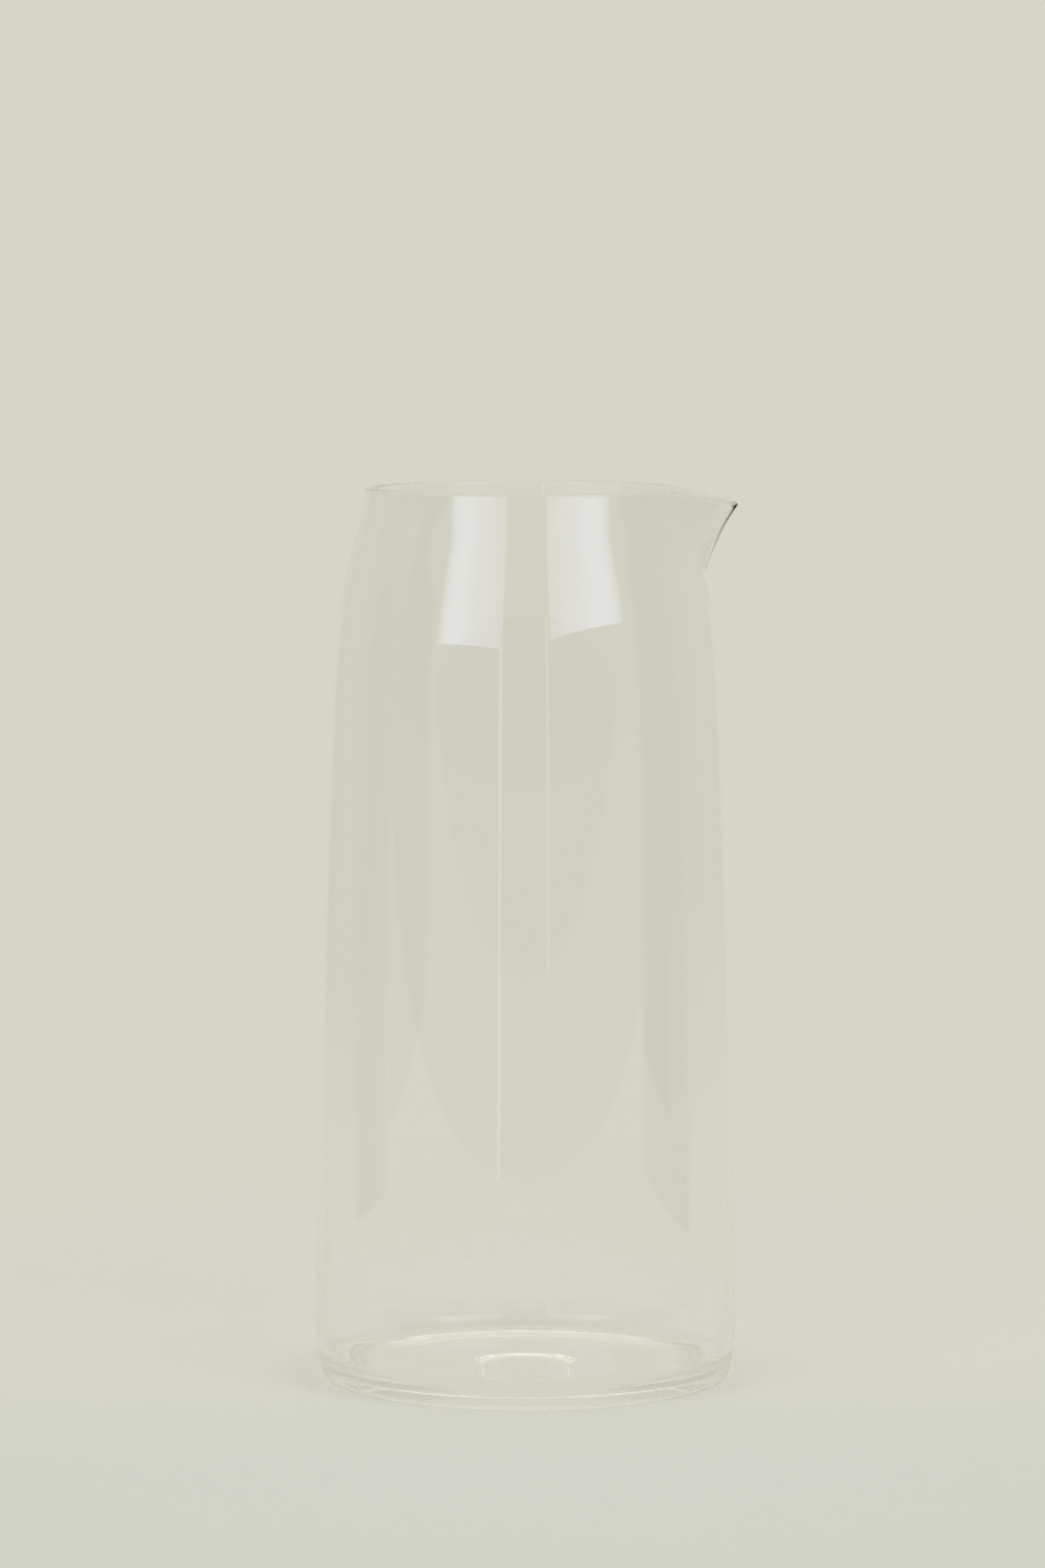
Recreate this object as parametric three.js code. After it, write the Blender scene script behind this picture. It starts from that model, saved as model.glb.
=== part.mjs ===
// A clear glass water pitcher with no handle and no lid: one vessel, worked hot from one piece of glass.
// Units are millimetres and +Z is up. The origin is on the table under the middle of the base,
// and the pouring lip points along +X.
import * as THREE from 'three';
import { mergeVertices } from 'three/addons/utils/BufferGeometryUtils.js';

// Driving sizes of the outside, from the table up. Leans are in degrees, inwards.
const FOOT_INNER_RADIUS = 44; // inside of the flat ring that touches the table
const HEEL_ROUND = 1.6; // radius of the polished corner at the table
const HEEL_RADIUS = 48.5; // outside radius where that corner ends
const HEEL_LEAN = -13; // lean of the wall there: the heel is tucked in
const BELLY_RADIUS = 50; // outside radius where the heel ends, the widest ring
const BELLY_LEAN = 0.6; // lean of the wall there
const BELLY_HEIGHT = 14; // height of that ring above the table
const BODY_LENGTH = 148; // from there up to the shoulder
const SHOULDER_RADIUS = 46.2; // outside radius where the shoulder starts
const SHOULDER_LEAN = 2.7; // lean of the wall there
const SHOULDER_LENGTH = 39.5; // from there up to the neck
const NECK_RADIUS = 39.6; // outside radius of the neck
const NECK_LEAN = 16.2; // lean of the wall there, its largest
const NECK_LENGTH = 10; // from there up to the crest of the rim
const RIM_RADIUS = 38; // outside radius of the rim
const RIM_LEAN = 6.5; // lean of the wall just below the rim

// Driving sizes of the glass itself
const WALL = 1.9; // thickness of the wall and of the rounded rim
const HEEL_WALL = 2.1; // thickness of the wall just above the floor
const FLOOR = 2.6; // height of the inside floor above the table
const INNER_HEEL_ROUND = 5; // radius inside, between wall and floor
const UNDERSIDE_RISE = 0.3; // hollow under the base
const UNDERSIDE_EASE = 2; // breadth of the slope into that hollow
const NAVEL_RADIUS = 11.7; // round dimple in the middle of the floor
const NAVEL_DEPTH = 0.5;
const NAVEL_EDGE = 2.4; // breadth of the dimple's sloping edge

// Driving sizes of the pouring lip
const SPOUT_REACH = 12.45; // how far the crest of the rim is drawn out
const SPOUT_DIP = 3.8; // how far it sinks there
const SPOUT_HEIGHT = 22; // length of wall that follows it, down from the crest
const SPOUT_EASE = 4; // height over which the wall turns outwards
const SPOUT_WIDTH = 22; // width of the lip where it has half of its reach

// Fineness of the facets
const TURN_STEPS = 64;
const BODY_STEPS = 5;
const SHOULDER_STEPS = 8;
const ROUND_STEPS = 4;
const EASE_STEPS = 3;

const GLASS = { color: 0xdfe4dc, roughness: 0.03, metalness: 0, transparent: true, opacity: 0.35 };

// Places that follow from the sizes
const shoulderHeight = BELLY_HEIGHT + BODY_LENGTH;
const neckHeight = shoulderHeight + SHOULDER_LENGTH;
const crestHeight = neckHeight + NECK_LENGTH;
const rimRound = WALL / 2;
const rimCentre = new THREE.Vector2(RIM_RADIUS - rimRound, crestHeight - rimRound);
const spoutRoot = crestHeight - SPOUT_HEIGHT;
const spoutSpread = SPOUT_WIDTH / 2 / RIM_RADIUS / Math.sqrt(2 * Math.log(2));

const radians = THREE.MathUtils.degToRad;

// The points of a curve after its first one, which the stretch before it has already given
function pointsAlong(curve, steps) {
  return curve.getPoints(steps).slice(1);
}

// The point a given way up a wall that leans inwards
function upWall(point, lean, way) {
  const angle = radians(lean);
  return new THREE.Vector2(point.x - way * Math.sin(angle), point.y + way * Math.cos(angle));
}

// A smooth stretch of wall from one point up to another, with its lean at both ends
function wallCurve(start, startLean, end, endLean) {
  const arm = 0.4 * start.distanceTo(end);
  return new THREE.CubicBezierCurve(
    start,
    upWall(start, startLean, arm),
    upWall(end, endLean, -arm),
    end,
  );
}

// A soft step between two level stretches
function easeCurve(start, end) {
  const middle = (start.x + end.x) / 2;
  return new THREE.CubicBezierCurve(
    start,
    new THREE.Vector2(middle, start.y),
    new THREE.Vector2(middle, end.y),
    end,
  );
}

// The inside of a stretch of wall, from below its top down: the outside moved in by the wall's thickness
function insideOf(curve, steps) {
  const points = [];
  for (let i = steps - 1; i >= 0; i -= 1) {
    const tangent = curve.getTangent(i / steps);
    const inwards = new THREE.Vector2(-tangent.y, tangent.x);
    points.push(curve.getPoint(i / steps).addScaledVector(inwards, WALL));
  }
  return points;
}

// The underside and the polished corner, from the axis out to the heel
function footPoints() {
  const hollowEnd = new THREE.Vector2(FOOT_INNER_RADIUS - UNDERSIDE_EASE, UNDERSIDE_RISE);
  const footStart = new THREE.Vector2(FOOT_INNER_RADIUS, 0);
  const cornerRadius = HEEL_RADIUS - HEEL_ROUND * Math.cos(radians(HEEL_LEAN));
  const corner = new THREE.ArcCurve(
    cornerRadius,
    HEEL_ROUND,
    HEEL_ROUND,
    -Math.PI / 2,
    radians(HEEL_LEAN),
  );
  return [
    new THREE.Vector2(0, UNDERSIDE_RISE),
    hollowEnd,
    ...pointsAlong(easeCurve(hollowEnd, footStart), EASE_STEPS),
    ...corner.getPoints(ROUND_STEPS),
  ];
}

// The inside heel, the floor and the dimple, from the wall in to the axis
function floorPoints(wallEnd) {
  const heelRadius = BELLY_RADIUS - HEEL_WALL;
  const heelTop = new THREE.Vector2(heelRadius, FLOOR + INNER_HEEL_ROUND);
  const heel = new THREE.ArcCurve(
    heelRadius - INNER_HEEL_ROUND,
    heelTop.y,
    INNER_HEEL_ROUND,
    0,
    -Math.PI / 2,
    true,
  );
  const edgeStart = new THREE.Vector2(NAVEL_RADIUS + NAVEL_EDGE / 2, FLOOR);
  const edgeEnd = new THREE.Vector2(NAVEL_RADIUS - NAVEL_EDGE / 2, FLOOR - NAVEL_DEPTH);
  return [
    ...pointsAlong(wallCurve(heelTop, 0, wallEnd, BELLY_LEAN), EASE_STEPS).reverse().slice(1),
    ...heel.getPoints(ROUND_STEPS),
    edgeStart,
    ...pointsAlong(easeCurve(edgeStart, edgeEnd), EASE_STEPS),
    new THREE.Vector2(0, FLOOR - NAVEL_DEPTH),
  ];
}

// The glass cut through the axis: out under the base, up the outside, over the rim and down the inside
function glassSection() {
  const foot = footPoints();
  const belly = new THREE.Vector2(BELLY_RADIUS, BELLY_HEIGHT);
  const shoulder = new THREE.Vector2(SHOULDER_RADIUS, shoulderHeight);
  const neck = new THREE.Vector2(NECK_RADIUS, neckHeight);
  const rimStart = new THREE.Vector2(rimRound, 0)
    .rotateAround(new THREE.Vector2(), radians(RIM_LEAN))
    .add(rimCentre);
  const heelWall = wallCurve(foot.at(-1), HEEL_LEAN, belly, BELLY_LEAN);
  const bodyWall = wallCurve(belly, BELLY_LEAN, shoulder, SHOULDER_LEAN);
  const shoulderWall = wallCurve(shoulder, SHOULDER_LEAN, neck, NECK_LEAN);
  const neckWall = wallCurve(neck, NECK_LEAN, rimStart, RIM_LEAN);
  const rim = new THREE.ArcCurve(
    rimCentre.x,
    rimCentre.y,
    rimRound,
    radians(RIM_LEAN),
    radians(RIM_LEAN) + Math.PI,
  );
  const insideBody = insideOf(bodyWall, BODY_STEPS);
  return [
    ...foot,
    ...pointsAlong(heelWall, EASE_STEPS),
    ...pointsAlong(bodyWall, BODY_STEPS),
    ...pointsAlong(shoulderWall, SHOULDER_STEPS),
    ...pointsAlong(neckWall, ROUND_STEPS),
    ...pointsAlong(rim, ROUND_STEPS),
    ...insideOf(neckWall, ROUND_STEPS),
    ...insideOf(shoulderWall, SHOULDER_STEPS),
    ...insideBody,
    ...floorPoints(insideBody.at(-1)),
  ];
}

// How far a point of the wall is drawn into the lip: 0 where it is untouched, 1 on the crest at its tip
function lipShare(angle, height) {
  const climb = Math.max(0, height - spoutRoot);
  const drawn = Math.hypot(climb, SPOUT_EASE) - SPOUT_EASE;
  const fullyDrawn = Math.hypot(SPOUT_HEIGHT, SPOUT_EASE) - SPOUT_EASE;
  return (drawn / fullyDrawn) * Math.exp(-0.5 * (angle / spoutSpread) ** 2);
}

// Pulls the lip out of the finished round rim, outwards and a little down
function pullLip(geometry) {
  const position = geometry.attributes.position;
  const point = new THREE.Vector3();
  for (let i = 0; i < position.count; i += 1) {
    point.fromBufferAttribute(position, i);
    const angle = Math.atan2(point.y, point.x);
    const share = lipShare(angle, point.z);
    point.x += SPOUT_REACH * share * Math.cos(angle);
    point.y += SPOUT_REACH * share * Math.sin(angle);
    point.z -= SPOUT_DIP * share;
    position.setXYZ(i, point.x, point.y, point.z);
  }
}

function makeGlassVessel() {
  const turned = new THREE.LatheGeometry(glassSection(), TURN_STEPS);
  turned.rotateX(Math.PI / 2);
  turned.deleteAttribute('normal');
  turned.deleteAttribute('uv');
  const geometry = mergeVertices(turned);
  pullLip(geometry);
  geometry.computeVertexNormals();
  const vessel = new THREE.Mesh(geometry, new THREE.MeshStandardMaterial(GLASS));
  vessel.name = 'glass_vessel';
  return vessel;
}

const pitcher = new THREE.Group();
pitcher.add(makeGlassVessel());

export default pitcher;
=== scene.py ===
# %% [markdown]
# # A clear glass water pitcher
#
# The pitcher has no handle and no lid: one vessel of clear glass with a thin floor, a rounded shoulder,
# a melted rim and a pouring lip pulled out of that rim. This lesson draws its section, turns it into a
# closed body, pulls the lip, and then does what a glass photographer does: clear glass has hardly any
# colour of its own, so it is seen only through what it mirrors and bends.
#
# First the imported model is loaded. It is the fixed frame: metres, Z up, the lip along +X.

# %% Load the frame
import math

import bpy
import numpy as np
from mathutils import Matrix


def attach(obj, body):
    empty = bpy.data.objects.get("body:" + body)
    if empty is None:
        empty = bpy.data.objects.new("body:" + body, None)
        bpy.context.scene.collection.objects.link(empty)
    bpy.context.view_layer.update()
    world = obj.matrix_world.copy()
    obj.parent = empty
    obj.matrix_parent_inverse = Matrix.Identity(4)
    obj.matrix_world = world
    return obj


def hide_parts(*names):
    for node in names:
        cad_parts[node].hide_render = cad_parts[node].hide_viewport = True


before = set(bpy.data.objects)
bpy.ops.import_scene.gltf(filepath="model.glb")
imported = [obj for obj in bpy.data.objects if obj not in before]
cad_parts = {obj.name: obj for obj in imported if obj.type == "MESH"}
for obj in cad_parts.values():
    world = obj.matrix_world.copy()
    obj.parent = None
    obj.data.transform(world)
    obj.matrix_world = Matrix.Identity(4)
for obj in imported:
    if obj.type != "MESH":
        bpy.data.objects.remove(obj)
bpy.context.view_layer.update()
MM = 0.001

# %% [markdown]
# ## The camera
#
# The ellipses of the rim and of the base tell how high the camera stood and how far away it was. The
# camera could be aimed at the pitcher with a constraint, but a fixed place and a fixed tilt show plainly
# what was measured. The focal length is worked out from a length in pixels on the tall side of the frame.

# %% Place the camera
FRAME_HEIGHT = 1800
FOCAL_PIXELS = 7458.8
CAMERA_DISTANCE = 1.5311
CAMERA_HEIGHT = 0.2780
CAMERA_TILT = math.radians(5.109)
AXIS_OFFSET_PIXELS = 3.7
SENSOR_WIDTH = 36.0

camera_data = bpy.data.cameras.new("camera")
camera_data.sensor_width = SENSOR_WIDTH
camera_data.lens = FOCAL_PIXELS * SENSOR_WIDTH / FRAME_HEIGHT
camera = bpy.data.objects.new("camera", camera_data)
side_step = AXIS_OFFSET_PIXELS / FOCAL_PIXELS * CAMERA_DISTANCE
camera.location = (-side_step, -CAMERA_DISTANCE, CAMERA_HEIGHT)
camera.rotation_euler = (math.pi / 2 - CAMERA_TILT, 0.0, 0.0)
bpy.context.scene.collection.objects.link(camera)
bpy.context.scene.camera = camera
bpy.context.scene.view_settings.view_transform = "Standard"
print("lens", round(camera_data.lens, 2), "mm")

# %% [markdown]
# A ray of light that enters clear glass is often mirrored many times before it comes out again. With
# Blender's usual limits such a ray is given up on the way and its place stays black, so the limits are
# raised here. Light that went through the glass is counted as it is, without being blurred or cut.

# %% Let light pass
MOST_TURNS_OF_A_RAY = 160

light_paths = bpy.context.scene.cycles
light_paths.max_bounces = MOST_TURNS_OF_A_RAY
light_paths.glossy_bounces = MOST_TURNS_OF_A_RAY
light_paths.transmission_bounces = MOST_TURNS_OF_A_RAY
light_paths.blur_glossy = 0.0
light_paths.sample_clamp_indirect = 0.0
print("bounces", light_paths.max_bounces)

# %% [markdown]
# ## The section of the glass
#
# A pitcher like this is blown or drawn and then turned while it is hot, so everything except the lip
# follows from one section through the axis. The wall could be one long spline, but then a change near
# the rim would also move the body. Instead it is made of stretches, each a Bezier curve that knows where
# it starts, where it ends and how much the wall leans there. Neighbours share both the point and the
# lean, so the joint between them is smooth.

# %% Curves of the section
HANDLE_SHARE = 0.4


def bezier(p0, p1, p2, p3, steps):
    """Cubic Bezier curve: the four points weighted by (1-t)^3, 3t(1-t)^2, 3t^2(1-t) and t^3."""
    t = np.linspace(0.0, 1.0, steps + 1)[:, None]
    s = 1.0 - t
    return s**3 * p0 + 3 * t * s**2 * p1 + 3 * t**2 * s * p2 + t**3 * p3


def up_wall(lean):
    """Unit step up a wall that leans inwards: (-sin lean, cos lean) in radius and height."""
    return np.array([-math.sin(math.radians(lean)), math.cos(math.radians(lean))])


def wall_curve(start, start_lean, end, end_lean, steps):
    """Stretch of wall: a Bezier curve with handles of a set share of its chord, along the leaning wall."""
    start, end = np.array(start), np.array(end)
    arm = HANDLE_SHARE * np.linalg.norm(end - start)
    return bezier(start, start + arm * up_wall(start_lean), end - arm * up_wall(end_lean), end, steps)


def ease_curve(start, end, steps):
    """Soft step between two level stretches: both handles stand at the middle radius."""
    start, end = np.array(start), np.array(end)
    middle = (start[0] + end[0]) / 2
    return bezier(start, np.array([middle, start[1]]), np.array([middle, end[1]]), end, steps)


def arc(centre, radius, first, last, steps):
    """Circular arc: centre + radius (cos a, sin a), with a going evenly from first to last, in degrees."""
    angle = np.radians(np.linspace(first, last, steps + 1))[:, None]
    return np.array(centre) + radius * np.hstack([np.cos(angle), np.sin(angle)])


def moved_inwards(curve, thickness):
    """Inside of a wall: each point moved by the thickness at right angles to the curve, to its left."""
    along = np.gradient(curve, axis=0)
    along /= np.linalg.norm(along, axis=1)[:, None]
    return curve + thickness * np.column_stack([-along[:, 1], along[:, 0]])


print("handles are", HANDLE_SHARE, "of a stretch")

# %% [markdown]
# The outside, from the axis out under the base and up to the crest of the rim. The base touches the
# table only with a flat ring, the middle is slightly hollow, and the corner above the ring is polished
# round. The heel is tucked in below the widest ring. Sizes are in millimetres until the whole section is
# turned into metres.

# %% Outside of the section
FOOT_INNER_RADIUS, UNDERSIDE_RISE, UNDERSIDE_EASE = 44.0, 0.3, 2.0
HEEL_RADIUS, HEEL_ROUND, HEEL_LEAN = 48.5, 1.6, -13.0
BELLY_RADIUS, BELLY_HEIGHT, BELLY_LEAN = 50.0, 14.0, 0.6
SHOULDER_RADIUS, SHOULDER_HEIGHT, SHOULDER_LEAN = 46.2, 162.0, 2.7
NECK_RADIUS, NECK_HEIGHT, NECK_LEAN = 39.75, 201.5, 15.8
RIM_RADIUS, CREST_HEIGHT, RIM_LEAN = 37.9, 211.5, 8.8
WALL = 1.9

hollow_end = (FOOT_INNER_RADIUS - UNDERSIDE_EASE, UNDERSIDE_RISE)
foot_start = (FOOT_INNER_RADIUS, 0.0)
corner_radius = HEEL_RADIUS - HEEL_ROUND * math.cos(math.radians(HEEL_LEAN))
corner = arc((corner_radius, HEEL_ROUND), HEEL_ROUND, -90.0, HEEL_LEAN, steps=40)
belly = (BELLY_RADIUS, BELLY_HEIGHT)
shoulder = (SHOULDER_RADIUS, SHOULDER_HEIGHT)
neck = (NECK_RADIUS, NECK_HEIGHT)
rim_round = WALL / 2
rim_centre = (RIM_RADIUS - rim_round, CREST_HEIGHT - rim_round)
rim = arc(rim_centre, rim_round, RIM_LEAN, RIM_LEAN + 180.0, steps=64)

underside = ease_curve((0.0, UNDERSIDE_RISE), hollow_end, steps=6)
foot_slope = ease_curve(hollow_end, foot_start, steps=10)
heel_wall = wall_curve(corner[-1], HEEL_LEAN, belly, BELLY_LEAN, steps=16)
body_wall = wall_curve(belly, BELLY_LEAN, shoulder, SHOULDER_LEAN, steps=24)
shoulder_wall = wall_curve(shoulder, SHOULDER_LEAN, neck, NECK_LEAN, steps=24)
neck_wall = wall_curve(neck, NECK_LEAN, rim[0], RIM_LEAN, steps=16)
outside = [underside, foot_slope, corner, heel_wall, body_wall, shoulder_wall, neck_wall]
print("outside points", sum(len(stretch) for stretch in outside))

# %% [markdown]
# The inside, from the rim back down to the axis. The wall has the same thickness nearly everywhere and
# gets thicker only just above the floor, where glass gathers. The floor carries a shallow round dimple,
# the mark that the last tool leaves in the middle.

# %% Inside of the section
HEEL_WALL, FLOOR_HEIGHT, INNER_HEEL_ROUND = 2.1, 2.6, 5.0
NAVEL_RADIUS, NAVEL_DEPTH, NAVEL_EDGE = 11.2, 0.5, 3.8

inner_neck = moved_inwards(neck_wall, WALL)[::-1]
inner_shoulder = moved_inwards(shoulder_wall, WALL)[::-1]
inner_body = moved_inwards(body_wall, WALL)[::-1]
inner_radius = BELLY_RADIUS - HEEL_WALL
heel_top = (inner_radius, FLOOR_HEIGHT + INNER_HEEL_ROUND)
inner_heel = wall_curve(heel_top, 0.0, inner_body[-1], BELLY_LEAN, steps=10)[::-1]
heel_centre = (inner_radius - INNER_HEEL_ROUND, heel_top[1])
inner_corner = arc(heel_centre, INNER_HEEL_ROUND, 0.0, -90.0, steps=48)
navel_out = (NAVEL_RADIUS + NAVEL_EDGE / 2, FLOOR_HEIGHT)
navel_in = (NAVEL_RADIUS - NAVEL_EDGE / 2, FLOOR_HEIGHT - NAVEL_DEPTH)
floor_ring = ease_curve(inner_corner[-1], navel_out, steps=10)
navel_edge = ease_curve(navel_out, navel_in, steps=24)
navel_floor = ease_curve(navel_in, (0.0, navel_in[1]), steps=6)
inner_wall = [inner_neck, inner_shoulder, inner_body, inner_heel]
inner_floor = [inner_corner, floor_ring, navel_edge, navel_floor]

stretches = outside + [rim] + inner_wall + inner_floor
section = np.vstack([stretches[0]] + [stretch[1:] for stretch in stretches[1:]])
print("section", len(section), "points,", round(section[:, 1].max(), 2), "mm tall")

# %% [markdown]
# ## Turning the section and pulling the lip
#
# A Screw modifier would turn the section, but the lip has to be pulled out of the finished rim, so the
# surface is worked out here: every point depends on its place along the section and on the angle round
# the axis. The angles crowd together a little at the lip, where the shape changes fastest.
#
# The lip is what a glass worker does with a paddle on the hot rim: the crest is drawn out and sinks a
# little, the wall below follows less and less, and to both sides the pull fades like a bell curve. Glass
# that is drawn out gets thinner, so the inside is drawn a little further than the outside. Each point of
# the section knows how far inside it lies: 0 on the outside, 1 on the inside, with a soft change over
# the rim.

# %% Inside and outside of the lip
over_rim = ((1.0 - np.cos(np.linspace(0.0, math.pi, len(rim)))) / 2) ** 2
before_rim = sum(len(stretch) - 1 for stretch in outside) + 1
after_rim = len(section) - before_rim - len(rim) + 1
inwardness = np.concatenate([np.zeros(before_rim), over_rim[1:], np.ones(after_rim)])[:, None]
print("points before and after the rim", before_rim, after_rim)

# %% Turn and pull
TURNS = 256
LIP_CROWDING = 0.3
SPOUT_REACH, SPOUT_DIP, SPOUT_HEIGHT, SPOUT_EASE, SPOUT_WIDTH = 12.54, 3.8, 22.0, 4.0, 22.0
LIP_THINNING = 1.1


def lip_share(angle, height):
    """Share of the pull: a hyperbola in height that starts level, times exp(-(angle / spread)^2 / 2)."""
    climb = np.maximum(0.0, height - (CREST_HEIGHT - SPOUT_HEIGHT))
    drawn = np.hypot(climb, SPOUT_EASE) - SPOUT_EASE
    fully_drawn = math.hypot(SPOUT_HEIGHT, SPOUT_EASE) - SPOUT_EASE
    spread = SPOUT_WIDTH / 2 / RIM_RADIUS / math.sqrt(2 * math.log(2))
    return drawn / fully_drawn * np.exp(-0.5 * (angle / spread) ** 2)


def turned_with_lip(profile, inwardness):
    """Rings of points: radius plus the pull times its share, round the axis, and sunk by dip times share."""
    turn = np.linspace(-math.pi, math.pi, TURNS, endpoint=False)
    angle = (turn - LIP_CROWDING * np.sin(turn))[None, :]
    radius, height = profile[:, :1], profile[:, 1:]
    share = lip_share(angle, height)
    out = radius + (SPOUT_REACH + LIP_THINNING * inwardness) * share
    points = [out * np.cos(angle), out * np.sin(angle), height - SPOUT_DIP * share]
    return MM * np.stack(points, axis=-1)


rings = turned_with_lip(section[1:-1], inwardness[1:-1])
print("rings", rings.shape, "lip reaches x =", round(float(rings[..., 0].max()), 4))

# %% [markdown]
# The rings become one closed body. Both ends of the section lie on the axis, so each is one point with a
# fan of triangles, and between the rings there are four-sided faces. The order of the corners makes the
# faces look outwards, which glass needs: a ray has to know whether it goes in or comes out.

# %% Close the body
def closed_mesh(name, rings, first_pole, last_pole):
    """Body of revolution: quads between neighbouring rings and a fan of triangles at each pole."""
    count, around = rings.shape[:2]
    verts = np.vstack([rings.reshape(-1, 3), first_pole, last_pole])
    place = np.arange(count * around).reshape(count, around)
    nxt = np.roll(place, -1, axis=1)
    quads = np.stack([place[:-1], nxt[:-1], nxt[1:], place[1:]], axis=-1).reshape(-1, 4)
    first = np.column_stack([np.full(around, count * around), nxt[0], place[0]])
    last = np.column_stack([np.full(around, count * around + 1), place[-1], nxt[-1]])
    mesh = bpy.data.meshes.new(name)
    mesh.from_pydata(verts.tolist(), [], quads.tolist() + first.tolist() + last.tolist())
    mesh.polygons.foreach_set("use_smooth", np.ones(len(mesh.polygons), dtype=bool))
    mesh.update()
    return mesh


def enclosed_volume(mesh):
    """Volume by the divergence theorem: a sixth of the sum of a . (b x c) over all triangles."""
    mesh.calc_loop_triangles()
    corners = np.empty(len(mesh.loop_triangles) * 3, dtype=np.int32)
    mesh.loop_triangles.foreach_get("vertices", corners)
    points = np.empty(len(mesh.vertices) * 3)
    mesh.vertices.foreach_get("co", points)
    a, b, c = points.reshape(-1, 3)[corners.reshape(-1, 3)].transpose(1, 0, 2)
    return float(np.einsum("ij,ij->i", a, np.cross(b, c)).sum() / 6)


poles = MM * np.array([[0.0, 0.0, section[0, 1]], [0.0, 0.0, section[-1, 1]]])
vessel_mesh = closed_mesh("pitcher_glass", rings, poles[:1], poles[1:])
vessel = bpy.data.objects.new("pitcher_glass", vessel_mesh)
bpy.context.scene.collection.objects.link(vessel)
print("glass", round(enclosed_volume(vessel_mesh) * 1e6, 1), "cm3")
print("triangles", len(vessel_mesh.loop_triangles))

# %% [markdown]
# ## Small helpers for materials
#
# All finishes here are built from nodes, and most of them need the same few steps: a soft change from
# one place to another, a sum, a mix of two colours, and the question how often a ray was mirrored.
# Written as functions, these steps keep the materials short.

# %% Node helpers
def add_node(tree, kind, feeds=None, **settings):
    """Adds a node, sets its options, and feeds inputs with plain values or with other nodes' outputs."""
    node = tree.nodes.new(kind)
    for name, value in settings.items():
        setattr(node, name, value)
    for socket, value in (feeds or {}).items():
        if isinstance(value, bpy.types.NodeSocket):
            tree.links.new(value, node.inputs[socket])
        else:
            node.inputs[socket].default_value = value
    return node


def step_between(tree, value, start, end, top=1.0, kind="SMOOTHSTEP"):
    """Change from 0 where the value is at start to top where it is at end: 3t^2 - 2t^3, or t if LINEAR."""
    feeds = {"Value": value, "From Min": start, "From Max": end, "To Max": top}
    return add_node(tree, "ShaderNodeMapRange", feeds, interpolation_type=kind).outputs[0]


def calculated(tree, operation, *values):
    """Result of one Math node on plain numbers or other nodes' outputs."""
    return add_node(tree, "ShaderNodeMath", dict(enumerate(values)), operation=operation).outputs[0]


def mixed_colour(tree, share, first, second):
    """The first colour where the share is 0, the second where it is 1."""
    feeds = {"Factor": share, 6: first, 7: second}
    return add_node(tree, "ShaderNodeMix", feeds, data_type="RGBA").outputs[2]


def mirrorings(tree):
    """Number of times that a ray has been mirrored on its way, from the Light Path node."""
    return add_node(tree, "ShaderNodeLightPath").outputs["Glossy Depth"]


def mirrored_once(tree):
    """1 for a ray that was mirrored exactly once, otherwise 0."""
    return calculated(tree, "COMPARE", mirrorings(tree), 1.0, 0.5)


def mirrored_often(tree):
    """1 for a ray that was mirrored twice or more, otherwise 0."""
    return calculated(tree, "GREATER_THAN", mirrorings(tree), 1.5)


def from_matt_surface(tree):
    """1 for a ray that was scattered by a matt surface, otherwise 0."""
    scatterings = add_node(tree, "ShaderNodeLightPath").outputs["Diffuse Depth"]
    return calculated(tree, "GREATER_THAN", scatterings, 0.5)


def new_material(name):
    """An empty node material and its output node."""
    material = bpy.data.materials.new(name)
    material.use_nodes = True
    material.node_tree.nodes.clear()
    return material, add_node(material.node_tree, "ShaderNodeOutputMaterial")


print("node helpers ready")

# %% [markdown]
# ## The glass
#
# Clear laboratory glass: it bends light a little less than window glass, so its index is 1.47. A wiped
# surface keeps faint streaks, which are drawn out upwards, and they change the tint and the roughness
# by very little. Hand work leaves the wall slightly wavy, which shows where the edge of a mirrored
# window wobbles. Heel and rim were melted again and are smooth, so the waves end before both.

# %% Streaks and waves
GLASS_PALE, GLASS_TINTED = (1.0, 1.0, 0.998, 1.0), (0.993, 0.995, 0.988, 1.0)
STREAK_SCALE, STREAK_DETAIL = 26.0, 4.0
WAVE_SCALE, WAVE_DETAIL = 34.0, 1.0
DRAWN_UPWARDS = (1.0, 1.0, 0.35)
CLEAN_ROUGHNESS, STREAKY_ROUGHNESS = 0.005, 0.03
STREAK_START, STREAK_END = 0.45, 0.75
WAVE_HEIGHT = 0.00001
HEEL_SMOOTH, RIM_SMOOTH = (0.008, 0.03), (0.206, 0.196)

glass, glass_out = new_material("clear_glass")
tree = glass.node_tree
place = add_node(tree, "ShaderNodeTexCoord").outputs["Object"]
drawn_out = add_node(tree, "ShaderNodeMapping", {"Vector": place, "Scale": DRAWN_UPWARDS}).outputs[0]
streaks = add_node(tree, "ShaderNodeTexNoise", {
    "Vector": drawn_out, "Scale": STREAK_SCALE, "Detail": STREAK_DETAIL}).outputs["Fac"]
waves = add_node(tree, "ShaderNodeTexNoise", {
    "Vector": drawn_out, "Scale": WAVE_SCALE, "Detail": WAVE_DETAIL}).outputs["Fac"]
wiped = add_node(tree, "ShaderNodeMapRange", {
    "Value": streaks, "From Min": STREAK_START, "From Max": STREAK_END,
    "To Min": CLEAN_ROUGHNESS, "To Max": STREAKY_ROUGHNESS})
height = add_node(tree, "ShaderNodeSeparateXYZ", {0: place}).outputs["Z"]
above_heel = step_between(tree, height, *HEEL_SMOOTH)
below_rim = step_between(tree, height, *RIM_SMOOTH)
on_wall = calculated(tree, "MULTIPLY", above_heel, below_rim)
wavy = calculated(tree, "MULTIPLY", waves, on_wall)
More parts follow.
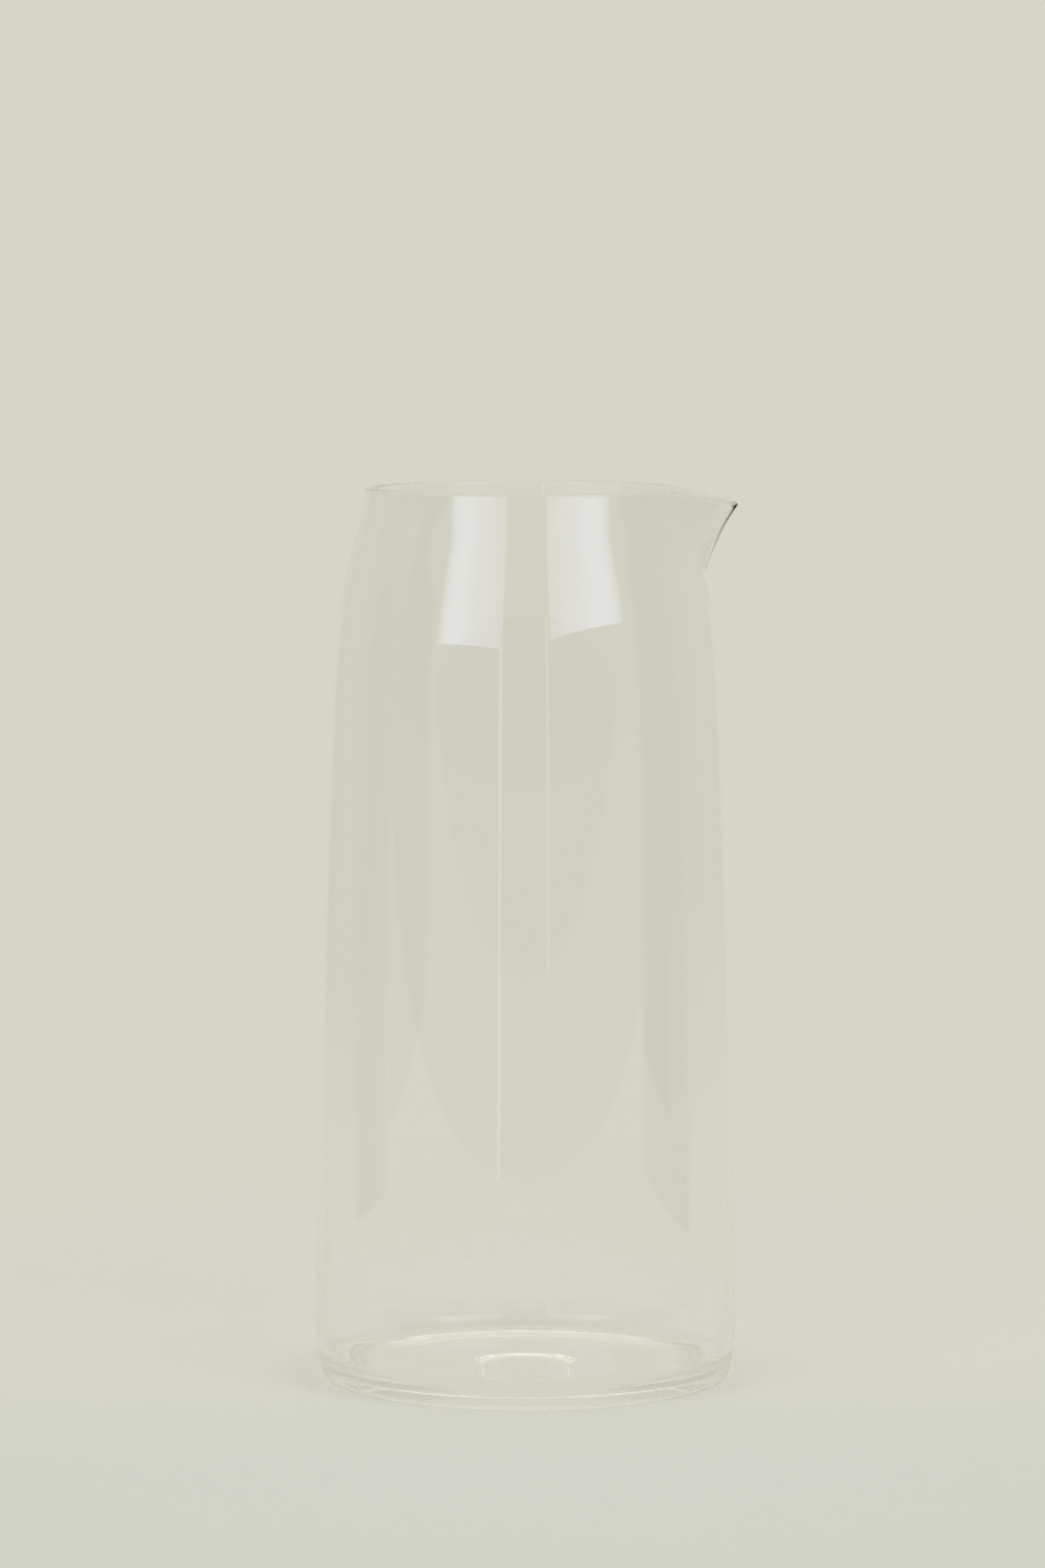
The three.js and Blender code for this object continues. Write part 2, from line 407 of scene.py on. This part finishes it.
ripple = add_node(tree, "ShaderNodeBump", {"Height": wavy, "Strength": 1.0, "Distance": WAVE_HEIGHT})
faint_tint = mixed_colour(tree, streaks, GLASS_PALE, GLASS_TINTED)
print("streaks and waves made")

# %% [markdown]
# The tip of the lip looks nearly black. It is taken for a small drop, in which the glass gathered and
# bends the light away from the eye. That is shade, and it is painted: a nearly black spot in the glass
# tint at the tip. It could be left to the rays, but a drop this small would only sparkle. The painted
# spot is found by its distance from the tip. It is longer along the rim than across it, so the distance
# along Y counts for less.

# %% Painted shade at the tip
# Painted shade: a nearly black tint at the lip's tip stands in for light that the glass bends away
LIP_TIP, LIP_PAINTED_DARK = (0.0497, 0.0, 0.2069), (0.02, 0.022, 0.014, 1.0)
ALONG_RIM = (1.0, 0.22, 1.0)
PAINTED_DARK_EDGE, PAINTED_DARK_HEART = 0.0016, 0.0007

narrowed = add_node(tree, "ShaderNodeVectorMath", {0: place, 1: ALONG_RIM}, operation="MULTIPLY")
from_tip = add_node(tree, "ShaderNodeVectorMath", {
    0: narrowed.outputs[0], 1: LIP_TIP}, operation="DISTANCE").outputs["Value"]
in_painted_dark = step_between(tree, from_tip, PAINTED_DARK_EDGE, PAINTED_DARK_HEART)
tint = mixed_colour(tree, in_painted_dark, faint_tint, LIP_PAINTED_DARK)
print("drop at", LIP_TIP)

# %% [markdown]
# A Glass BSDF would do, but Principled BSDF with full transmission keeps its meaning when the model
# leaves Blender. Everything that is the same all over sits on the shader's own sockets.
#
# Some rays are caught in the wall like light in a fibre, run up and down in it, and never come out. In
# real glass they fade into the brightness of the whole room. The volume does that with painted light: it
# takes light away along the path and gives back as much of a soft olive glow, so a short way changes
# nothing and a long way ends in that painted glow, in the colour that thick glass shows at its edge.

# %% Clear glass
GLASS_INDEX = 1.47
ABSORB_AND_GLOW_DENSITY, TRAPPED_LIGHT = 3.0, (0.585, 0.575, 0.465, 1.0)
BLACK = (0.0, 0.0, 0.0, 1.0)

shader = add_node(tree, "ShaderNodeBsdfPrincipled", {
    "Base Color": tint, "Roughness": wiped.outputs[0], "Normal": ripple.outputs[0],
    "IOR": GLASS_INDEX, "Transmission Weight": 1.0})
taken = add_node(tree, "ShaderNodeVolumeAbsorption", {"Color": BLACK, "Density": ABSORB_AND_GLOW_DENSITY})
# Painted light: the glass volume glows olive, standing in for light trapped in the wall
given = add_node(tree, "ShaderNodeEmission", {"Color": TRAPPED_LIGHT, "Strength": ABSORB_AND_GLOW_DENSITY})
absorbed_and_painted_glow = add_node(tree, "ShaderNodeAddShader", {0: taken.outputs[0], 1: given.outputs[0]})
tree.links.new(shader.outputs[0], glass_out.inputs["Surface"])
tree.links.new(absorbed_and_painted_glow.outputs[0], glass_out.inputs["Volume"])
vessel.data.materials.append(glass)
print("glass material with", len(tree.nodes), "nodes")

# %% Put the glass on its body
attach(vessel, "root")
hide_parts("glass_vessel")
print(vessel.name, "rides root and stands for glass_vessel")

# %% [markdown]
# ## The table and the backdrop
#
# The pitcher stands on a pale sweep with no visible horizon: a huge disc, with fine rings near the
# pitcher and coarse ones far away.

# %% Flat disc
TABLE_RADIUS, TABLE_GAP = 40.0, 0.0002
DISC_RINGS, DISC_TURNS, INNERMOST_RING = 40, 96, 0.05


def level_disc(name, radius, height):
    """Flat round surface: rings whose radius grows as the cube of their number, closed in the middle."""
    angle = np.linspace(0.0, 2 * math.pi, DISC_TURNS, endpoint=False)[None, :]
    reach = radius * (np.linspace(INNERMOST_RING, 1.0, DISC_RINGS) ** 3)[:, None]
    level = np.full((DISC_RINGS, DISC_TURNS), height)
    grid = np.stack([reach * np.cos(angle), reach * np.sin(angle), level], axis=-1)
    index = np.arange(DISC_RINGS * DISC_TURNS).reshape(DISC_RINGS, DISC_TURNS)
    nxt = np.roll(index, -1, axis=1)
    quads = np.stack([index[:-1], index[1:], nxt[1:], nxt[:-1]], axis=-1).reshape(-1, 4)
    middle = np.column_stack([np.full(DISC_TURNS, index.size), index[0], nxt[0]])
    mesh = bpy.data.meshes.new(name)
    verts = np.vstack([grid.reshape(-1, 3), [[0.0, 0.0, height]]])
    mesh.from_pydata(verts.tolist(), [], quads.tolist() + middle.tolist())
    disc = bpy.data.objects.new(name, mesh)
    bpy.context.scene.collection.objects.link(disc)
    return disc


table = level_disc("table", TABLE_RADIUS, -TABLE_GAP)
matt, matt_out = new_material("pale_table")
tree = matt.node_tree
place = add_node(tree, "ShaderNodeTexCoord").outputs["Object"]
across = add_node(tree, "ShaderNodeSeparateXYZ", {0: place})
distance = add_node(tree, "ShaderNodeVectorMath", {0: place}, operation="LENGTH").outputs["Value"]
print("table with", len(table.data.polygons), "faces")

# %% [markdown]
# The paper of the sweep is painted a little cooler just in front of the pitcher, where daylight falls on
# it: painted light in the paper's colour. Behind it and far away it has the colour of the backdrop.

# %% Colour of the sweep
BACKDROP = (0.679, 0.665, 0.578, 1.0)
# Painted light: the cooler front colour stands in for daylight falling on the sweep
FRONT_OF_SWEEP = (0.624, 0.624, 0.547, 1.0)
FRONT_TO_BACK, FRONT_FADE = (-0.13, 0.10), (0.25, 0.60)

depth = step_between(tree, across.outputs["Y"], *FRONT_TO_BACK)
away = step_between(tree, distance, *FRONT_FADE)
backness = calculated(tree, "MAXIMUM", depth, away)
sweep_colour = mixed_colour(tree, backness, FRONT_OF_SWEEP, BACKDROP)
print("sweep from", FRONT_OF_SWEEP[:3], "to", BACKDROP[:3])

# %% [markdown]
# Near the pitcher the table is an ordinary matt surface, so it keeps the shadow that the glass throws on
# it. Further away it fades into a plain glow of the same colour, as an evenly lit sweep does.
#
# Under the base the matt table would be nearly black, because few rays find their way down through the
# glass and up again. In truth the base gathers light there, and that light is painted on: under the base
# the plain glow takes part too, most at the front of the foot, a little less under the floor, and least
# where the foot turns to the sides, which leaves painted shade as the brown corners of the base.

# %% Where the table glows
FADE_OUT = (0.10, 0.40)
BASE_REACH, GATHERED_LIGHT = (0.056, 0.0495), 0.95
FOOT_REACH, SIDE_REACH = (0.038, 0.042), (0.012, 0.036)
FLOOR_SHADE, FOOT_SHADE = 0.22, 0.72

far = step_between(tree, distance, *FADE_OUT)
# Painted light under the base, with painted shade where the foot turns to the sides
under = step_between(tree, distance, *BASE_REACH, top=GATHERED_LIGHT)
at_foot = step_between(tree, distance, *FOOT_REACH)
aside = calculated(tree, "ABSOLUTE", across.outputs["X"])
to_side = step_between(tree, aside, *SIDE_REACH, top=FOOT_SHADE)
lost = add_node(tree, "ShaderNodeMix", {0: at_foot, 2: FLOOR_SHADE, 3: to_side}, data_type="FLOAT")
kept = calculated(tree, "SUBTRACT", 1.0, lost.outputs[0])
gathered = calculated(tree, "MULTIPLY", under, kept)
glowing = calculated(tree, "MAXIMUM", far, gathered)
print("light gathered within", BASE_REACH[0], "m")

# %% [markdown]
# One more thing belongs to the real set: the table ends in front of the pitcher, towards the camera, and
# the room beyond is darker. No camera sees that edge, but the glass mirrors it. Light Path tells how many
# mirrorings a ray has behind it, so the darker floor of the room is shown only to rays that have been
# mirrored once. Rays that were mirrored more often run inside the wall, and they see the pale sweep.

# %% Pale table
ROOM_FLOOR = (0.38, 0.37, 0.33, 1.0)
TABLE_EDGE, EDGE_SOFTNESS = -0.47, 0.03

in_front = step_between(
    tree, across.outputs["Y"], TABLE_EDGE, TABLE_EDGE - EDGE_SOFTNESS, kind="LINEAR")
room_seen = calculated(tree, "MULTIPLY", mirrored_once(tree), in_front)
paper = add_node(tree, "ShaderNodeBsdfDiffuse", {"Color": sweep_colour}).outputs[0]
sweep = add_node(tree, "ShaderNodeEmission", {"Color": sweep_colour}).outputs[0]
room_floor = add_node(tree, "ShaderNodeEmission", {"Color": ROOM_FLOOR}).outputs[0]
faded = add_node(tree, "ShaderNodeMixShader", {0: glowing, 1: paper, 2: sweep}).outputs[0]
seen = add_node(tree, "ShaderNodeMixShader", {0: room_seen, 1: faded, 2: room_floor}).outputs[0]
tree.links.new(seen, matt_out.inputs["Surface"])
table.data.materials.append(matt)
print("table material with", len(tree.nodes), "nodes")

# %% [markdown]
# ## The room
#
# The world does four jobs. Straight on and through the glass it is the pale backdrop. To matt surfaces
# it is soft white light from everywhere. To rays that were mirrored once it is the room: pale behind the
# pitcher, where the backdrop is, and darker towards the sides and the camera. To rays that come out of
# the glass upwards after many mirrorings it is the bright ceiling, which draws the fine bright lines in
# the base. The room is given by its bearing, in degrees from the camera's side, and its brightness.

# %% Room by bearing
ROOM_BY_BEARING = [
    (-180, 0.67), (-150, 0.61), (-138, 0.56), (-128, 0.52), (-119, 0.42), (-104, 0.36), (-92, 0.37),
    (-81, 0.33), (-70, 0.24), (-61, 0.25), (-52, 0.28), (52, 0.28), (66, 0.28), (76, 0.31), (87, 0.28),
    (98, 0.30), (112, 0.34), (120, 0.43), (128, 0.52), (139, 0.56), (154, 0.60), (180, 0.67)]
ROOM_TINT = (1.0, 0.98, 0.86)


def set_stops(ramp, stops):
    """Gives a colour ramp its stops, each a place from 0 to 1 and a colour."""
    elements = ramp.color_ramp.elements
    while len(elements) < len(stops):
        elements.new(0.5)
    for element, (at, colour) in zip(elements, stops):
        element.position = at
        element.color = colour


world = bpy.data.worlds.new("studio")
bpy.context.scene.world = world
world.use_nodes = True
tree = world.node_tree
tree.nodes.clear()
way = add_node(tree, "ShaderNodeSeparateXYZ", {0: add_node(tree, "ShaderNodeTexCoord").outputs["Generated"]})
towards = calculated(tree, "MULTIPLY", way.outputs["Y"], -1.0)
bearing = calculated(tree, "ARCTAN2", way.outputs["X"], towards)
turned = add_node(tree, "ShaderNodeMapRange", {"Value": bearing, "From Min": -math.pi, "From Max": math.pi})
room = add_node(tree, "ShaderNodeValToRGB", {0: turned.outputs[0]})
set_stops(room, [
    ((degrees + 180) / 360, (*(level * part for part in ROOM_TINT), 1.0))
    for degrees, level in ROOM_BY_BEARING])
print("room with", len(ROOM_BY_BEARING), "stops")

# %% World
ROOM_LIGHT = (0.875, 0.866, 0.832, 1.0)
CEILING, CEILING_EDGE = (1.15, 1.17, 1.07, 1.0), (0.5, 0.75)

overhead = step_between(tree, way.outputs["Z"], *CEILING_EDGE, kind="LINEAR")
from_above = calculated(tree, "MULTIPLY", mirrored_often(tree), overhead)
behind = mixed_colour(tree, from_above, BACKDROP, CEILING)
ahead = mixed_colour(tree, mirrored_once(tree), behind, room.outputs[0])
lit = mixed_colour(tree, from_matt_surface(tree), ahead, ROOM_LIGHT)
background = add_node(tree, "ShaderNodeBackground", {"Color": lit, "Strength": 1.0})
add_node(tree, "ShaderNodeOutputWorld", {"Surface": background.outputs[0]})
print("world with", len(tree.nodes), "nodes")

# %% [markdown]
# ## The windows
#
# Two tall windows behind the camera give the bright panels high on the shoulder. They are area lamps:
# large, soft and mirrored by the glass like any lamp. A lamp's radiance is its power divided by pi and
# by its area, so the power is worked out from how bright the panel should look. Across its width a
# window is brightest in its outer half, as panes with a curtain are. A ray that was mirrored often in
# the wall sees the window only as bright as the backdrop, because real glass spreads such a ray out.

# %% Window lamps
WINDOW_RADIANCE, SPREAD_OUT = 2.4, 0.275
DAYLIGHT = (0.71, 0.78, 1.08)
WINDOW_PROFILE = [(0.0, 0.48), (0.35, 0.70), (0.68, 1.05), (0.86, 1.0), (0.93, 0.65), (1.0, 0.55)]


def grey(level):
    """A grey of the given level, as a colour with full alpha."""
    return (level, level, level, 1.0)


def on_bearing(degrees, distance, height):
    """Point at a bearing from the camera's side: (d sin b, -d cos b, height)."""
    angle = math.radians(degrees)
    return np.array([distance * math.sin(angle), -distance * math.cos(angle), height])


def hang_panes(lamp_data, profile):
    """Makes the lamp's strength follow the profile across its width, but even for rays mirrored often."""
    lamp_data.use_nodes = True
    tree = lamp_data.node_tree
    spot = add_node(tree, "ShaderNodeNewGeometry").outputs["Parametric"]
    along = add_node(tree, "ShaderNodeSeparateXYZ", {0: spot}).outputs["X"]
    panes = add_node(tree, "ShaderNodeValToRGB", {0: along})
    panes.color_ramp.interpolation = "EASE"
    set_stops(panes, [(at, grey(level)) for at, level in profile])
    shown = mixed_colour(tree, mirrored_often(tree), panes.outputs[0], grey(SPREAD_OUT))
    light = next(node for node in tree.nodes if node.type == "EMISSION")
    tree.links.new(shown, light.inputs["Strength"])


def window_lamp(name, inner, outer, height):
    """Upright area lamp between two lower corners, facing the axis, brightest in its outer half."""
    middle = (inner + outer) / 2 + np.array([0.0, 0.0, height / 2])
    width = float(np.linalg.norm(outer - inner))
    left, right = (outer, inner) if inner[0] > outer[0] else (inner, outer)
    across = (right - left) / width
    lamp_data = bpy.data.lights.new(name, "AREA")
    lamp_data.shape = "RECTANGLE"
    lamp_data.size, lamp_data.size_y = width, height
    lamp_data.energy = WINDOW_RADIANCE * math.pi * width * height
    lamp_data.color = DAYLIGHT
    turned_round = [(1.0 - at, level) for at, level in WINDOW_PROFILE[::-1]]
    hang_panes(lamp_data, WINDOW_PROFILE if left is inner else turned_round)
    lamp = bpy.data.objects.new(name, lamp_data)
    lamp.location = middle
    lamp.rotation_euler = (math.pi / 2, 0.0, math.atan2(across[1], across[0]))
    lamp.visible_camera = False
    bpy.context.scene.collection.objects.link(lamp)
    print(name, "width", round(width, 2), "power", round(lamp_data.energy, 1), "W")


print("window profile with", len(WINDOW_PROFILE), "stops")

# %% [markdown]
# The lower corners of a window are given by their bearing in degrees and their distance in metres, and
# its sill and its height in metres.

# %% Hang the windows
LEFT_INNER, LEFT_OUTER = (-14.0, 2.04), (-54.5, 2.19)
LEFT_SILL, LEFT_HEIGHT = 0.496, 1.40
RIGHT_INNER, RIGHT_OUTER = (14.8, 2.08), (62.0, 1.90)
RIGHT_SILL, RIGHT_HEIGHT = 0.578, 1.60

left_inner, left_outer = on_bearing(*LEFT_INNER, LEFT_SILL), on_bearing(*LEFT_OUTER, LEFT_SILL)
window_lamp("left_window", left_inner, left_outer, LEFT_HEIGHT)
right_inner, right_outer = on_bearing(*RIGHT_INNER, RIGHT_SILL), on_bearing(*RIGHT_OUTER, RIGHT_SILL)
window_lamp("right_window", right_inner, right_outer, RIGHT_HEIGHT)

# %% [markdown]
# ## Cards beside the glass
#
# On both sides of clear glass a photographer stands cards, because only a darker neighbour draws the
# side of the glass as a line. The cards could be real sheets in the picture's margin, but then they
# would stand in the way of every other view. So they are shown only to rays that were mirrored once:
# a card is a face with a plain glow, and it is clear to all other rays.

# %% Card helpers
def new_card(name, corners):
    """One four-sided face, from its lower first corner round to its upper first corner, and its material."""
    mesh = bpy.data.meshes.new(name)
    mesh.from_pydata(corners, [], [(0, 1, 2, 3)])
    card = bpy.data.objects.new(name, mesh)
    bpy.context.scene.collection.objects.link(card)
    finish, finish_out = new_material(name)
    mesh.materials.append(finish)
    return card, finish.node_tree, finish_out


def show_when_mirrored(card, tree, finish_out, colour):
    """Lets the card glow in the colour for rays mirrored once, and leaves it out of everything else."""
    glow = add_node(tree, "ShaderNodeEmission", {"Color": colour}).outputs[0]
    clear = add_node(tree, "ShaderNodeBsdfTransparent").outputs[0]
    shown = add_node(tree, "ShaderNodeMixShader", {0: mirrored_once(tree), 1: clear, 2: glow})
    tree.links.new(shown.outputs[0], finish_out.inputs["Surface"])
    card.visible_camera = False
    card.visible_diffuse = False
    card.visible_shadow = False
    print(card.name, "placed")


def standing_corners(first, last, height):
    """Corners of an upright card that stands on the table between two points."""
    return [(*first, 0.0), (*last, 0.0), (*last, height), (*first, height)]


print("card helpers ready")

# %% [markdown]
# Two dark cards give the broad soft shades inside the left and the right edge. A narrow slit of light
# beside the left window gives the long thin bright line down the body.

# %% Dark cards and bright slit
CARD_HEIGHT, SLIT_HEIGHT = 0.26, 0.255
DARK_CARD, BRIGHT_SLIT = (0.30, 0.28, 0.25, 1.0), (1.15, 1.17, 1.15, 1.0)
LEFT_FRONT, RIGHT_FRONT = (-0.400, -0.070), (0.441, -0.205)
LEFT_MEETING, RIGHT_MEETING = (-0.315, 0.060), (0.301, 0.027)
SLIT_OUTER, SLIT_INNER = (-0.126, -0.473), (-0.112, -0.473)


def plain_card(name, first, last, height, colour):
    """Upright card of one colour."""
    card, tree, finish_out = new_card(name, standing_corners(first, last, height))
    show_when_mirrored(card, tree, finish_out, colour)


plain_card("left_card", LEFT_FRONT, LEFT_MEETING, CARD_HEIGHT, DARK_CARD)
plain_card("right_card", RIGHT_FRONT, RIGHT_MEETING, CARD_HEIGHT, DARK_CARD)
plain_card("left_slit", SLIT_OUTER, SLIT_INNER, SLIT_HEIGHT, BRIGHT_SLIT)

# %% [markdown]
# Behind each dark card a wing leads back to the backdrop. It gets paler on the way, and its foot fades
# into the backdrop, so the edges of the glass are drawn above and nearly vanish towards the base.

# %% Wings
WING_NEAR, WING_FAR = (0.41, 0.40, 0.35, 1.0), (0.67, 0.656, 0.57, 1.0)
LEFT_BACK, RIGHT_BACK = (-0.175, 0.303), (0.175, 0.303)
LEFT_FOOT, RIGHT_FOOT = 0.07, 0.10


def wing(name, first, last, foot):
    """Upright card that goes from near to far colour along Y, and from the backdrop up to them along Z."""
    card, tree, finish_out = new_card(name, standing_corners(first, last, CARD_HEIGHT))
    place = add_node(tree, "ShaderNodeTexCoord").outputs["Object"]
    parts = add_node(tree, "ShaderNodeSeparateXYZ", {0: place})
    backwards = step_between(tree, parts.outputs["Y"], first[1], last[1], kind="LINEAR")
    upwards = step_between(tree, parts.outputs["Z"], 0.0, foot, kind="LINEAR")
    shade = mixed_colour(tree, backwards, WING_NEAR, WING_FAR)
    show_when_mirrored(card, tree, finish_out, mixed_colour(tree, upwards, BACKDROP, shade))


wing("left_wing", LEFT_MEETING, LEFT_BACK, LEFT_FOOT)
wing("right_wing", RIGHT_MEETING, RIGHT_BACK, RIGHT_FOOT)

# %% [markdown]
# The dark line down the edge of the lip is the last one. There the thin glass mirrors what stands close
# behind it, so a small card hangs behind the lip. Its edges fall to the right, in step with the places
# that the mirrored rays reach, and it gets darker upwards, so the line is darkest at the tip. A second
# one, black all over, belongs to the tip alone.

# %% Cards behind the lip
PALE_LIP, DARK_LIP = (0.48, 0.475, 0.40, 1.0), (0.0, 0.002, 0.0, 1.0)
BEHIND_LIP, SLANT = 0.02, 0.7


def slanted_card(name, first, last_low, last_high, low, high, lower, upper):
    """Card across X whose edges fall by slant times X; its colour follows the height z + slant x."""
    corners = [
        (first, BEHIND_LIP, low), (last_low, BEHIND_LIP, low - SLANT * (last_low - first)),
        (last_high, BEHIND_LIP, high - SLANT * (last_high - first)), (first, BEHIND_LIP, high)]
    card, tree, finish_out = new_card(name, corners)
    place = add_node(tree, "ShaderNodeTexCoord").outputs["Object"]
    parts = add_node(tree, "ShaderNodeSeparateXYZ", {0: place})
    climb = calculated(tree, "MULTIPLY_ADD", parts.outputs["X"], SLANT, parts.outputs["Z"])
    upwards = step_between(tree, climb, low + SLANT * first, high + SLANT * first, kind="LINEAR")
    show_when_mirrored(card, tree, finish_out, mixed_colour(tree, upwards, lower, upper))


slanted_card(
    "lip_card", first=0.044, last_low=0.0515, last_high=0.063, low=0.1954, high=0.2107,
    lower=PALE_LIP, upper=DARK_LIP)
slanted_card(
    "tip_card", first=0.052, last_low=0.063, last_high=0.063, low=0.2051, high=0.2106,
    lower=DARK_LIP, upper=DARK_LIP)
